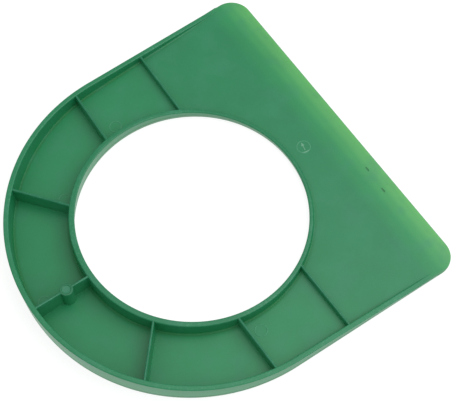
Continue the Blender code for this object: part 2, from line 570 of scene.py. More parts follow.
class Graph:
    """A node tree, with one method that makes any node in it."""

    def __init__(self, tree: bpy.types.NodeTree) -> None:
        """Wraps a tree.

        Args:
            tree: The node tree to fill.
        """
        self.tree = tree

    def node(
        self,
        kind: str,
        settings: Optional[dict[str, object]] = None,
        sockets: Optional[dict[Union[int, str], object]] = None,
        output: Union[int, str] = 0,
    ) -> Signal:
        """Makes a node.

        Args:
            kind: The node's type.
            settings: Its properties, set first. A ramp's stops are under "stops".
            sockets: Values or signals for its inputs, by name or place.
            output: The output that the signal reads.

        Returns:
            The chosen output.
        """
        made = self.tree.nodes.new(kind)
        for name, value in (settings or {}).items():
            if name == "stops":
                self.set_stops(made.color_ramp, value)
            else:
                setattr(made, name, value)
        for key, value in (sockets or {}).items():
            self.plug(made.inputs[key], value)
        return Signal(self, made.outputs[output] if made.outputs else None)

    def plug(self, socket: bpy.types.NodeSocket, value: object) -> None:
        """Feeds an input.

        Args:
            socket: The input.
            value: A signal, or the input's own value.
        """
        if isinstance(value, Signal):
            self.tree.links.new(value.socket, socket)
        else:
            socket.default_value = value

    def math(self, operation: str, *values: Feed) -> Signal:
        """Makes a Math node from values in order."""
        return self.node("ShaderNodeMath", {"operation": operation}, dict(enumerate(values)))

    @staticmethod
    def set_stops(ramp: bpy.types.ColorRamp, stops: Sequence[tuple[float, Color]]) -> None:
        """Sets a ramp's stops.

        Args:
            ramp: The ramp, which starts with two stops.
            stops: Each stop's place and colour.
        """
        ramp.interpolation = "EASE"
        while len(ramp.elements) < len(stops):
            ramp.elements.new(1.0)
        for element, (place, color) in zip(ramp.elements, stops):
            element.position = place
            element.color = (*color, 1.0)

    def blend(self, share: Feed, first: object, second: object, kind: str = "MIX") -> Signal:
        """Mixes two colours.

        Args:
            share: How much of the second one.
            first: A colour or a signal.
            second: A colour or a signal.
            kind: The Mix node's blend type.

        Returns:
            The mixed colour.
        """
        settings = {"data_type": "RGBA", "blend_type": kind, "clamp_factor": True}
        sides = [value if isinstance(value, Signal) else (*value, 1.0) for value in (first, second)]
        return self.node("ShaderNodeMix", settings, {0: share, 6: sides[0], 7: sides[1]}, output=2)

    def axes(self, vector: Signal) -> tuple[Signal, Signal, Signal]:
        """Splits a vector into its three parts."""
        parts = self.node("ShaderNodeSeparateXYZ", None, {0: vector}).socket.node.outputs
        return tuple(Signal(self, part) for part in parts)

    def vector(self, x: Feed, y: Feed, z: Feed) -> Signal:
        """Joins three values into a vector."""
        return self.node("ShaderNodeCombineXYZ", None, {0: x, 1: y, 2: z})


# Finishes.


@dataclass(frozen=True)
class Bands:
    """Where the tones of the colour come in, each from none of the tone to all of it; many of them
    are painted light, painted reflection and painted shade.

    Those of the outer wall, the hole's wall and the arris are distances outside the back's radius,
    the hole's mouth and the front edge. Those with "under" in their name lie under the rim plane.
    """

    # front: where the painted light that shines through the thin front comes in.
    front: Point2 = (66.0 * MM, 85.0 * MM)
    side: Point2 = (-1.0 * MM, 1.0 * MM)
    crest_under: Point2 = (0.75 * MM, 0.15 * MM)
    crest_over_floor: Point2 = (0.15 * MM, 0.6 * MM)
    lit_under: Point2 = (2.0 * MM, 7.0 * MM)
    # The corner bands place painted shade on the floor along the feet of the collar and the rim.
    corner_off_wall: Point2 = (2.2 * MM, 0.2 * MM)
    corner_under: Point2 = (0.3 * MM, 5.0 * MM)
    corner_over_floor: Point2 = (1.2 * MM, 0.0)
    corner_in_floor: Point2 = (-0.2 * MM, -0.1 * MM)
    hole_wall: Point2 = (0.3 * MM, 0.1 * MM)
    outer_wall: Point2 = (-0.9 * MM, -0.4 * MM)
    # The two heights between which the painted reflection of the white floor lies low on the walls.
    reflection_fade: Point2 = (4.6 * MM, 0.9 * MM)
    reflection_start: Point2 = (0.05 * MM, 0.4 * MM)
    # The arris bands place a painted reflection, a grey line, along the rounded front edge.
    arris: Point2 = (-0.75 * MM, -0.35 * MM)
    arris_up: Point2 = (0.3 * MM, 0.8 * MM)
    patch: Point2 = (0.45, 0.72)
    rubbed_specks: Point2 = (0.50, 0.72)
    rubbed_clouds: Point2 = (0.40, 0.62)


class Surface:
    """Where a point of the plastic lies on the cup, as signals in a material's tree."""

    NOISE_ROUGHNESS = 0.55

    def __init__(self, graph: Graph, sizes: CupSizes, bands: Bands) -> None:
        """Measures the point, and how far it is on a crest, in a corner, at a foot or on the arris.

        Args:
            graph: The material's tree.
            sizes: The cup's sizes.
            bands: Where the tones come in.
        """
        self.graph = graph
        self.place = graph.node("ShaderNodeTexCoord", None, None, "Object")
        x, self.y, self.z = graph.axes(self.place)
        self.x = x - sizes.origin_x
        self.under = (sizes.front_x - self.x) * tan(sizes.rim_slope) + sizes.front_edge - self.z
        off_hole = self.distance(sizes.hole_x)
        back = self.distance(0.0)
        normal = sizes.side_normal
        beside = self.x * cos(normal) + self.y.math("ABSOLUTE") * sin(normal)
        reach = back + (beside - back) * self.x.ramp(*bands.side)
        up = self.z - sizes.floor
        self.crest = self.under.ramp(*bands.crest_under) * up.ramp(*bands.crest_over_floor)

        # Painted shade: a darker floor along the feet of the collar and the rim. The same mask
        # dulls the gloss there.
        off_collar = off_hole - sizes.collar_face(sizes.floor)
        off_rim = sizes.back_radius + sizes.inner_offset(sizes.floor) - reach
        near_wall = off_collar.math("MINIMUM", off_rim).ramp(*bands.corner_off_wall)
        level = up.ramp(*bands.corner_in_floor) * up.ramp(*bands.corner_over_floor)
        self.corner = near_wall * self.under.ramp(*bands.corner_under) * level

        in_hole = (off_hole - sizes.hole_radius).ramp(*bands.hole_wall)
        outside = in_hole.math("MAXIMUM", (reach - sizes.back_radius).ramp(*bands.outer_wall))
        # Painted reflection of the white floor: a grey tone low on the outer wall and on the hole's
        # wall.
        self.foot = outside * self.z.ramp(*bands.reflection_fade) * self.z.ramp(*bands.reflection_start)
        # Painted reflection: a grey line along the rounded front edge.
        ahead = self.x - sizes.front_x
        self.arris = ahead.ramp(*bands.arris) * self.z.ramp(*bands.arris_up)

    def distance(self, x: float, y: float = 0.0, units: Point2 = (1.0, 1.0)) -> Signal:
        """Distance from an upright axis.

        Args:
            x: The axis's place along the cup.
            y: Its place across the cup.
            units: What counts as 1 along and across.

        Returns:
            The distance.
        """
        along = (self.x - x) / units[0]
        across = (self.y - y) / units[1]
        return (along * along + across * across).math("SQRT")

    def noise(self, scale: float, detail: float = 2.0) -> Signal:
        """A noise value from 0 to 1, at a scale in cells a metre."""
        values = {"Scale": scale, "Detail": detail, "Roughness": self.NOISE_ROUGHNESS}
        return self.graph.node("ShaderNodeTexNoise", None, {"Vector": self.place, **values})


@dataclass(frozen=True)
class Scuffs:
    """How a surface shows handling: streaks and rubbed crests in its gloss, and paler crests."""

    edge_paling: float = 0.35
    gloss_spread: float = 0.10
    streak_scale: float = 55.0
    streak_detail: float = 4.0
    crest_polish: float = 0.05
    corner_dulling: float = 0.25


def plain(color: Color) -> Stops:
    """One colour, as the stops of a ramp."""
    return ((0.0, color), (1.0, color))


@dataclass(frozen=True)
class GreenPlastic:
    """Satin green polypropylene, with painted light that makes it brighter and yellower towards the
    thin front edge, where light shines through it.
    """

    name: str
    sizes: CupSizes
    bands: Bands = Bands()
    # The deep green body colour, then painted light shining through the thin plastic, brighter and
    # yellower towards the front edge.
    body_and_glow_stops: Stops = (
        (0.00, (0.013, 0.222, 0.087)),
        (0.35, (0.019, 0.258, 0.088)),
        (0.60, (0.045, 0.318, 0.100)),
        (0.80, (0.083, 0.385, 0.113)),
        (1.00, (0.113, 0.455, 0.115)),
    )
    lit: Color = (0.018, 0.262, 0.098)
    lit_share: float = 0.8
    # foot: a painted reflection of the white floor, grey low on the outer wall and on the hole's
    # wall.
    foot: Color = (0.140, 0.235, 0.165)
    floor_reflection_share: float = 0.45
    # crest: painted shade that darkens the rounded tops of the walls, the collar and the ribs.
    crest: Color = (0.011, 0.212, 0.085)
    crest_shade_share: float = 0.8
    # arris: a painted reflection, a greyer green along the rounded front edge.
    arris: Color = (0.140, 0.400, 0.180)
    arris_reflection_share: float = 0.0
    # corner: painted shade on the floor along the feet of the collar and the rim.
    corner: Color = (0.008, 0.150, 0.028)
    corner_shade_share: float = 0.6
    patch: Color = (0.034, 0.240, 0.135)
    patch_share: float = 0.35
    wear: Color = (0.090, 0.330, 0.190)
    patch_scale: float = 95.0
    cloud_scale: float = 70.0
    cloud_detail: float = 3.0
    speck_scale: float = 900.0
    mottle: float = 0.5
    cloud_depth: float = 0.20
    speck_depth: float = 0.08
    roughness: float = 0.38
    ior: float = 1.49
    grain_scale: float = 1900.0
    grain_depth: float = 0.012 * MM
    wave_scale: float = 110.0
    wave_detail: float = 1.0
    wave_depth: float = 0.036 * MM
    bump: float = 0.35
    scuffs: Scuffs = Scuffs()

    def make(self) -> bpy.types.Material:
        """Builds the material.

        Returns:
            The material, with a Principled BSDF whose colour, gloss and normal vary.
        """
        material = bpy.data.materials.new(self.name)
        material.use_nodes = True
        graph = Graph(material.node_tree)
        shader = material.node_tree.nodes["Principled BSDF"]
        at = Surface(graph, self.sizes, self.bands)
        graph.plug(shader.inputs["Base Color"], self.color(at))
        graph.plug(shader.inputs["Roughness"], self.gloss(at))
        graph.plug(shader.inputs["Normal"], self.relief(at))
        shader.inputs["IOR"].default_value = self.ior
        return material

    def color(self, at: Surface) -> Signal:
        """The plastic's colour, with painted light, reflection and shade laid over it.

        Args:
            at: The point that is coloured.

        Returns:
            The colour.
        """
        graph, bands = at.graph, self.bands
        # Painted light: the colour brightens and yellows towards the thin front edge, where light
        # shines through the plastic.
        thin = at.x.ramp(*bands.front, "LINEAR")
        body = graph.node("ShaderNodeValToRGB", {"stops": self.body_and_glow_stops}, {0: thin})
        drift = at.noise(self.patch_scale).ramp(*bands.patch)
        for share, tone in (
            (at.under.ramp(*bands.lit_under) * self.lit_share, self.lit),
            # Painted reflection of the white floor at the feet of the outer wall and the hole's
            # wall.
            (at.foot * self.floor_reflection_share, self.foot),
            # Painted shade on the crests.
            (at.crest * self.crest_shade_share, self.crest),
            # Painted reflection along the rounded front edge.
            (at.arris * self.arris_reflection_share, self.arris),
            # Painted shade in the corners where the floor meets the walls.
            (at.corner * self.corner_shade_share, self.corner),
            (drift * self.patch_share, self.patch),
        ):
            body = graph.blend(share, body, tone)
        cloud = at.noise(self.cloud_scale, self.cloud_detail)
        speck = at.noise(self.speck_scale)
        grey = (cloud - 0.5) * self.cloud_depth + (speck - 0.5) * self.speck_depth + 0.5
        body = graph.blend(self.mottle, body, graph.vector(grey, grey, grey), "OVERLAY")
        rubbed = at.crest * speck.ramp(*bands.rubbed_specks) * cloud.ramp(*bands.rubbed_clouds)
        return graph.blend(rubbed * self.scuffs.edge_paling, body, self.wear)

    def gloss(self, at: Surface) -> Signal:
        """Roughness: satin all over, duller in corners and more polished on crests.

        Args:
            at: The point that is finished.

        Returns:
            The roughness.
        """
        scuffs = self.scuffs
        streaks = at.noise(scuffs.streak_scale, scuffs.streak_detail) - 0.5
        rough = streaks * scuffs.gloss_spread + self.roughness
        return rough + at.corner * scuffs.corner_dulling - at.crest * scuffs.crest_polish

    def relief(self, at: Surface) -> Signal:
        """The fine grain that the mould leaves, over a faint waviness.

        Args:
            at: The point that is finished.

        Returns:
            The normal.
        """
        grain = at.noise(self.grain_scale) * self.grain_depth
        height = grain + at.noise(self.wave_scale, self.wave_detail) * self.wave_depth
        sockets = {"Strength": self.bump, "Distance": 1.0, "Height": height}
        return at.graph.node("ShaderNodeBump", None, sockets)


@dataclass(frozen=True)
class SpottedPlastic(GreenPlastic):
    """The same plastic with round or long spots of another tone, above a height."""

    spots: tuple[Point2, ...] = ()
    spot_size: Point2 = (1.0 * MM, 1.0 * MM)
    spot_fade: Point2 = (1.15, 0.75)
    spot_color: Color = (0.010, 0.120, 0.045)
    spot_share: float = 0.7
    spot_above: float = 0.0
    spot_rise: float = 0.1 * MM

    def color(self, at: Surface) -> Signal:
        """The plastic's colour with its spots.

        Args:
            at: The point that is coloured.

        Returns:
            The colour.
        """
        body = super().color(at)
        high = at.z.ramp(self.spot_above, self.spot_above + self.spot_rise) * self.spot_share
        for spot in self.spots:
            share = at.distance(*spot, self.spot_size).ramp(*self.spot_fade) * high
            body = at.graph.blend(share, body, self.spot_color)
        return body


@dataclass(frozen=True)
class StudioFloor:
    """A plain floor that glows enough to show as white under any part of the sky."""

    color: Color = (0.30, 0.30, 0.30)
    roughness: float = 0.9
    glow: float = 0.82

    def make(self) -> bpy.types.Material:
        """Builds the material.

        Returns:
            The material.
        """
        material = bpy.data.materials.new("studio_floor")
        material.use_nodes = True
        sockets = material.node_tree.nodes["Principled BSDF"].inputs
        sockets["Base Color"].default_value = (*self.color, 1.0)
        sockets["Roughness"].default_value = self.roughness
        sockets["Specular IOR Level"].default_value = 0.0
        sockets["Emission Color"].default_value = (1.0, 1.0, 1.0, 1.0)
        sockets["Emission Strength"].default_value = self.glow
        return material


# Members of the moulding.


@dataclass
class Member:
    """What every member has: its sizes, its finish and the way it joins the frame."""

    sizes: CupSizes
    finish: bpy.types.Material
    slot: Slot = Slot.THICK

    def join(self, item: bpy.types.Object, *nodes: str) -> bpy.types.Object:
        """Dresses a finished piece and ties it to the frame.

        Args:
            item: The piece, already a plain mesh.
            *nodes: The solids that it stands for, if any.

        Returns:
            The piece.
        """
        item.data.materials.clear()
        item.data.materials.append(self.finish)
        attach(item, BODY)
        if nodes:
            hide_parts(*nodes)
        LOG.info("%s: %d faces", item.name, len(item.data.polygons))
        return item


@dataclass
class Deck(Member):
    """The flat plate, with its rounded outer edge, the hole and the mouth of the socket."""

    edge_steps: int = 7
    hole_steps: int = 192
    bore_steps: int = 40
    mouth_round: float = 0.3 * MM

    def side_rings(self, stations: Sequence[Station]) -> list[Ring]:
        """Rings of the outer edge, from the outer face up to the floor.

        Args:
            stations: The outline of the plate.

        Returns:
            One ring for each level.
        """
        sizes = self.sizes
        levels = []
        for angle in spread(0.0, pi / 2, self.edge_steps):
            z = sizes.edge_round * (1 - cos(angle))
            levels.append((sizes.outer_offset(z) - sizes.edge_round * (1 - sin(angle)), z))
        levels.append((sizes.outer_offset(sizes.floor), sizes.floor))
        return [[sizes.placed(*spot.at(offset), z) for spot in stations] for offset, z in levels]

    def hole_rings(self, center_x: float, mouth: Point2, foot: float, steps: int) -> list[Ring]:
        """Rings of a hole's wall, from the outer face up to the floor.

        Args:
            center_x: Place of the hole's axis.
            mouth: Radius of the hole, and of the rounding inside it.
            foot: The wall's radius at the floor.
            steps: Points in each ring.

        Returns:
            One ring for each level.
        """
        radius, lip = mouth
        levels = [
            (radius - lip * sin(angle), lip * (1 - cos(angle)))
            for angle in spread(0.0, pi / 2, self.edge_steps)
        ]
        levels.append((foot, self.sizes.floor))
        return [self.sizes.circle(center_x, across, z, steps) for across, z in levels]

    def build(self) -> bpy.types.Object:
        """Makes the plate.

        Returns:
            The finished piece.
        """
        sizes = self.sizes
        skin = Skin("deck_moulding")
        hole = (sizes.hole_radius, sizes.hole_lip)
        bore = (sizes.bore_radius + self.mouth_round, self.mouth_round)
        stacks = [
            self.side_rings(Outline(sizes).rear()),
            self.hole_rings(sizes.hole_x, hole, sizes.hole_face(sizes.floor), self.hole_steps),
            self.hole_rings(sizes.boss_x, bore, sizes.bore_radius, self.bore_steps),
        ]
        skirts = [skin.skirt(stack) for stack in stacks]
        skin.sheet(*(rings[0] for rings in skirts))
        skin.sheet(*(rings[-1] for rings in skirts))
        return self.join(settle(skin.piece()), "deck_plate")


@dataclass
class FrontLip(Deck):
    """The solid nose that tapers to the edge where the ball rolls on.

    A nick is as wide and long as nick_size at the slope. Its levels are shares of the width, and
    heights over the slope.
    """

    slot: Slot = Slot.THIN
    arris: float = 0.55 * MM
    nicks: tuple[Point2, ...] = ((78.6 * MM, -26.2 * MM), (78.0 * MM, -38.9 * MM))
    nick_size: Point2 = (0.8 * MM, 2.6 * MM)
    nick_steps: int = 24
    nick_levels: tuple[Point2, ...] = (
        (0.45, -0.22 * MM), (0.85, -0.154 * MM), (1.0, 0.0), (1.1, 0.6 * MM)
    )

    def section(self, station: Station) -> list[Point2]:
        """Offset and height up the edge at one station, from the outer face to the slope.

        Args:
            station: A place on the outline.

        Returns:
            The same number of points at every station.
        """
        sizes = self.sizes
        fall = tan(sizes.rim_slope) * station.away_x
        height = sizes.rim_height(station.x)
        top = sizes.top(sizes.outer_offset, height, fall)
        inset = 2 * sizes.edge_round
        corners = [
            Corner(-inset, 0.0),
            Corner(0.0, 0.0, sizes.edge_round),
            Corner(sizes.outer_offset(top), top, self.arris),
            Corner(-inset, height + fall * inset),
        ]
        return rounded(corners, self.edge_steps)[1:-1]

    def nick_cutter(self, center: Point2) -> bpy.types.Object:
        """A long rounded solid that presses one shallow nick into the slope.

        Args:
            center: Place of the nick.

        Returns:
            The helper object, to be removed after the cut.
        """
        wide, long = self.nick_size
        top = self.sizes.rim_height(center[0])
        rings = []
        for share, z in self.nick_levels:
            ring = []
            for angle in turns(self.nick_steps):
                x = center[0] + share * wide / 2 * cos(angle)
                y = center[1] + share * wide / 2 * sin(angle)
                y += (long - wide) / 2 * (1 if sin(angle) > 0 else -1)
                ring.append(self.sizes.placed(x, y, top + z))
            rings.append(ring)
        skin = Skin("nick_cutter")
        skin.loft(rings)
        return skin.piece()

    def build(self) -> bpy.types.Object:
        """Makes the lip and presses its nicks.

        Returns:
            The finished piece.
        """
        stations = Outline(self.sizes).front()
        columns = []
        for station in stations:
            path = self.section(station)
            columns.append([self.sizes.placed(*station.at(offset), z) for offset, z in path])
        skin = Skin("front_lip_moulding")
        skin.loft(zip(*columns))
        item = skin.piece()
        cutters = [self.nick_cutter(center) for center in self.nicks]
        for cutter in cutters:
            cut = item.modifiers.new(cutter.name, "BOOLEAN")
            cut.operation = "DIFFERENCE"
            cut.solver = "EXACT"
            cut.object = cutter
        applied(item)
        for cutter in cutters:
            bpy.data.objects.remove(cutter, do_unlink=True)
        return self.join(settle(item), "front_lip")


@dataclass
class Wall(Member):
    """A wall on the floor, with a plain face, a rounded crest and a face with a filleted foot."""

    crest_rounds: Point2 = (0.5 * MM, 0.55 * MM)
    root: float = 0.8 * MM

    def path(self, faces: tuple[Face, Face], height: float, fall: float) -> list[Point2]:
        """Offset and height along the wall's closed section.

        Args:
            faces: Offsets of the plain and of the filleted face, at a height.
            height: The rim plane's height where the offset is nothing.
            fall: How fast the plane falls along the section.

        Returns:
            Its points, from the plain foot over the crest to the fillet's toe.
        """
        floor = self.sizes.floor
        start, foot = (face(floor) for face in faces)
        corners = [Corner(start, floor)]
        for face, radius in zip(faces, self.crest_rounds):
            top = self.sizes.top(face, height, fall)
            corners.append(Corner(face(top), top, radius))
        return rounded([*corners, *fillet(foot, floor, self.root, copysign(1.0, foot - start))])


@dataclass
class RimWall(Wall):
    """The wall round the back and along both sides, filleted inside."""

    least: float = 0.03 * MM
    side_steps: int = 12

    def section(self, station: Station) -> Ring:
        """The wall's closed section at one station.

        Args:
            station: A place on the outline.

        Returns:
            Its points, outer foot first.
        """
        sizes = self.sizes
        fall = tan(sizes.rim_slope) * station.away_x
        faces = (sizes.outer_offset, sizes.inner_offset)
        path = self.path(faces, sizes.rim_height(station.x), fall)
        return [sizes.placed(*station.at(offset), z) for offset, z in path]

    def run(self, name: str, stations: Sequence[Station]) -> bpy.types.Object:
        """Makes one run of the wall.

        Args:
            name: Name of the solid that the run stands for.
            stations: The places that it passes.

        Returns:
            The finished piece.
        """
        skin = Skin(name + "_moulding")
        skin.loft([self.section(station) for station in stations])
        return self.join(settle(skin.piece()), name)

    def build(self) -> list[bpy.types.Object]:
        """Makes the rear wall and both side walls.

        Returns:
            The finished pieces.
        """
        outline = Outline(self.sizes)
        back = outline.back()
        made = [self.run("rear_rim_wall", back)]
        end_x = self.sizes.lip_x - self.least / tan(self.sizes.rim_slope)
        for side, start in ((Side.LEFT, back[0]), (Side.RIGHT, back[-1])):
            end = outline.on_side(end_x, side)
            stations = [
                Station(x, y, start.away_x, start.away_y)
                for x, y in zip(
                    spread(start.x, end.x, self.side_steps), spread(start.y, end.y, self.side_steps)
                )
            ]
            made.append(self.run("side_wall_" + side.word, stations))
        return made


@dataclass
class Collar(Wall):
    """The ring wall round the hole, filleted outside."""

    steps: int = 192
    crest_rounds: Point2 = (0.6 * MM, 0.6 * MM)

    def section(self, angle: float) -> Ring:
        """The collar's closed section in one direction from the hole's axis.

        Args:
            angle: The direction.

        Returns:
            Its points, from the foot in the hole over the crest to the floor.
        """
        sizes = self.sizes
        fall = tan(sizes.rim_slope) * cos(angle)
        faces = (sizes.hole_face, sizes.collar_face)
        path = self.path(faces, sizes.rim_height(sizes.hole_x), fall)
        return [
            sizes.placed(sizes.hole_x + radius * cos(angle), radius * sin(angle), z)
            for radius, z in path
        ]

    def build(self) -> bpy.types.Object:
        """Makes the collar.

        Returns:
            The finished piece.
        """
        skin = Skin("hole_collar_moulding")
        skin.loft([self.section(angle) for angle in turns(self.steps)], round_trip=True)
        return self.join(settle(skin.piece()), "hole_collar")


@dataclass
class SocketBoss(Member):
    """The round boss in the rear rib, with a dished roof over its blind bore."""

    steps: int = 64
    drop: float = 0.2 * MM
    roof: float = 1.2 * MM
    axis_radius: float = 0.12 * MM
    dish_radius: float = 2.15 * MM
    dish_depth: float = 0.35 * MM
    dish_slant: float = 0.25 * MM
    dish_rounds: Point2 = (0.3 * MM, 0.15 * MM)
    crest_round: float = 0.35 * MM
    root: float = 0.1 * MM
    bore_start: float = 0.5 * MM
    bore_round: float = 0.4 * MM

    def profile(self) -> list[Point2]:
        """Radius and height of the boss on the level.

        Returns:
            The points, from the roof's middle out to the foot, and up the bore to its middle.
        """
        sizes = self.sizes
        floor = sizes.floor
        top = sizes.rim_height(sizes.boss_x) - self.drop
        dish = top - self.dish_depth
        roof = sizes.rim_height(sizes.boss_x + sizes.boss_radius) - self.drop - self.roof
        outside = [
            Corner(self.axis_radius, dish),
            Corner(self.dish_radius - self.dish_slant, dish, self.dish_rounds[0]),
            Corner(self.dish_radius, top, self.dish_rounds[1]),
            Corner(sizes.boss_radius - top * tan(sizes.inner_draft), top, self.crest_round),
            *fillet(sizes.boss_radius, floor, self.root),
        ]
        bore = [
            Corner(sizes.bore_radius, floor + self.bore_start),
            Corner(sizes.bore_radius, roof, self.bore_round),
            Corner(self.axis_radius, roof),
        ]
        return [*rounded(outside), (sizes.bore_radius, floor), *rounded(bore)]

    def ring(self, radius: float, z: float) -> Ring:
        """A circle of the boss, tilted with the rim plane the nearer it lies to the top.

        Args:
            radius: The circle's radius.
            z: Height of its middle.

        Returns:
            Its points.
        """
        sizes = self.sizes
        top = sizes.rim_height(sizes.boss_x) - self.drop
        share = max(0.0, min(1.0, (z - sizes.floor) / (top - sizes.floor)))
        return sizes.circle(sizes.boss_x, radius, z, self.steps, share * tan(sizes.rim_slope))

    def build(self) -> bpy.types.Object:
        """Makes the boss.

        Returns:
            The finished piece.
        """
        skin = Skin("socket_boss_moulding")
        skin.loft([self.ring(radius, z) for radius, z in self.profile()])
        return self.join(settle(skin.piece()), "socket_boss")


# Ribs and moulding marks, which follow a rule.


class Generator:
    """A Geometry Nodes tree with named inputs, and the plain meshes that it makes."""

    def __init__(self, name: str) -> None:
        """Starts a tree that takes a geometry and gives one.

        Args:
            name: The tree's name.
        """
        self.tree = bpy.data.node_groups.new(name, "GeometryNodeTree")
        self.graph = Graph(self.tree)
        self.keys: dict[str, str] = {}
        interface = self.tree.interface
        interface.new_socket("Geometry", in_out="INPUT", socket_type="NodeSocketGeometry")
        interface.new_socket("Geometry", in_out="OUTPUT", socket_type="NodeSocketGeometry")
        self.source = self.tree.nodes.new("NodeGroupInput")

    def number(self, name: str) -> Signal:
        """Adds a named number to the tree's inputs."""
        return self.add(name, "NodeSocketFloat")

    def add(self, name: str, kind: str) -> Signal:
        """Adds a named input.

        Args:
            name: The input's name.
            kind: Its socket type.

        Returns:
            The signal that reads it.
        """
        socket = self.tree.interface.new_socket(name, in_out="INPUT", socket_type=kind)
        self.keys[name] = socket.identifier
        return Signal(self.graph, self.source.outputs[name])

    def geometry(self) -> Signal:
        """The geometry that comes in."""
        return Signal(self.graph, self.source.outputs["Geometry"])

    def close(self, shape: Signal, finish: Signal) -> None:
        """Ends the tree in Realize Instances and Set Material.

        Args:
            shape: The geometry made.
            finish: The material input.
        """
        real = self.graph.node("GeometryNodeRealizeInstances", None, {0: shape})
        dressed = self.graph.node(
            "GeometryNodeSetMaterial", None, {"Geometry": real, "Material": finish}
        )
        sink = self.tree.nodes.new("NodeGroupOutput")
        self.graph.plug(sink.inputs["Geometry"], dressed)

    def run(self, name: str, mesh: bpy.types.Mesh, values: dict[str, object]) -> bpy.types.Object:
        """Makes one plain mesh with the tree.

        Args:
            name: Name of the piece.
            mesh: The geometry that goes in.
            values: The tree's inputs by name.

        Returns:
            The piece, with its modifier removed.
        """
        item = bpy.data.objects.new(name, mesh)
        bpy.context.scene.collection.objects.link(item)
        modifier = item.modifiers.new(self.tree.name, "NODES")
        modifier.node_group = self.tree
        for key, value in values.items():
            modifier[self.keys[key]] = value
        work = bmesh.new()
        work.from_mesh(applied(item).data)
        close_up(work, item.data)
        return item


class RibMaker(Generator):
    """Draws a rib's section along a straight line and shapes it to the rim plane and its walls.

    The section comes in as a closed line of points. Each holds its distance from the rib's middle,
    a height, and 0 or 1: the height is measured from the floor or from the crest.
    """

    SAMPLES = 49

    def __init__(self) -> None:
        """Builds the tree."""
        super().__init__("drafted_rib")
        graph, number = self.graph, self.number
        start_x, heading = number("Start X"), number("Heading")
        starts = number("Foot Start"), number("Crest Start")
        ends = number("Foot End"), number("Crest End")
        floor, crest_zero, slope = number("Floor"), number("Crest Zero"), number("Slope")
        root, sink = number("Root Radius"), number("Sink")
        finish = self.add("Finish", "NodeSocketMaterial")

        here = graph.node("GeometryNodeInputPosition")
        section = graph.node(
            "GeometryNodeStoreNamedAttribute", {"data_type": "FLOAT_VECTOR", "domain": "POINT"},
            {"Geometry": self.geometry(), "Name": "section", "Value": here},
        )
        outline = graph.node("GeometryNodeMeshToCurve", None, {0: section})
        line = graph.node(
            "GeometryNodeMeshLine", {"mode": "END_POINTS"},
            {"Count": self.SAMPLES, "Start Location": (0.0, 0.0, 0.0), "Offset": (1.0, 0.0, 0.0)},
        )
        path = graph.node("GeometryNodeMeshToCurve", None, {0: line})
        path = graph.node(
            "GeometryNodeStoreNamedAttribute", {"data_type": "FLOAT", "domain": "POINT"},
            {"Geometry": path, "Name": "run", "Value": graph.axes(here)[0]},
        )
        body = graph.node(
            "GeometryNodeCurveToMesh", None,
            {"Curve": path, "Profile Curve": outline, "Fill Caps": True},
        )

        read = {"data_type": "FLOAT_VECTOR"}
        side, lift, anchor = graph.axes(
            graph.node("GeometryNodeInputNamedAttribute", read, {"Name": "section"})
        )
        run = graph.node("GeometryNodeInputNamedAttribute", {"data_type": "FLOAT"}, {"Name": "run"})
        share = 0.5 - (run * pi).math("COSINE") * 0.5
        start = starts[0] + (starts[1] - starts[0]) * anchor
        end = ends[0] + (ends[1] - ends[0]) * anchor
        along = start - sink + (end - start + sink * 2.0) * share
        gap = (along - start).math("MINIMUM", end - along).math("MAXIMUM", 0.0)
        inside = (root - gap).math("MAXIMUM", 0.0)
        flare = root - (root * root - inside * inside).math("SQRT")
        wide = side + side.math("SIGN") * flare
        cosine, sine = heading.math("COSINE"), heading.math("SINE")
        x = start_x + along * cosine - wide * sine
        y = along * sine + wide * cosine
        crest = crest_zero - x * slope
        z = floor + (crest - floor) * anchor + lift
        body = graph.node(
            "GeometryNodeSetPosition", None, {"Geometry": body, "Position": graph.vector(x, y, z)}
        )
        self.close(body, finish)


@dataclass(frozen=True)
class RibLine:
    """Where a rib runs: its start on the long axis, its heading, and its two reaches."""

    name: str
    start_x: float
    heading: float
    from_boss: bool = False
    to_boss: bool = False


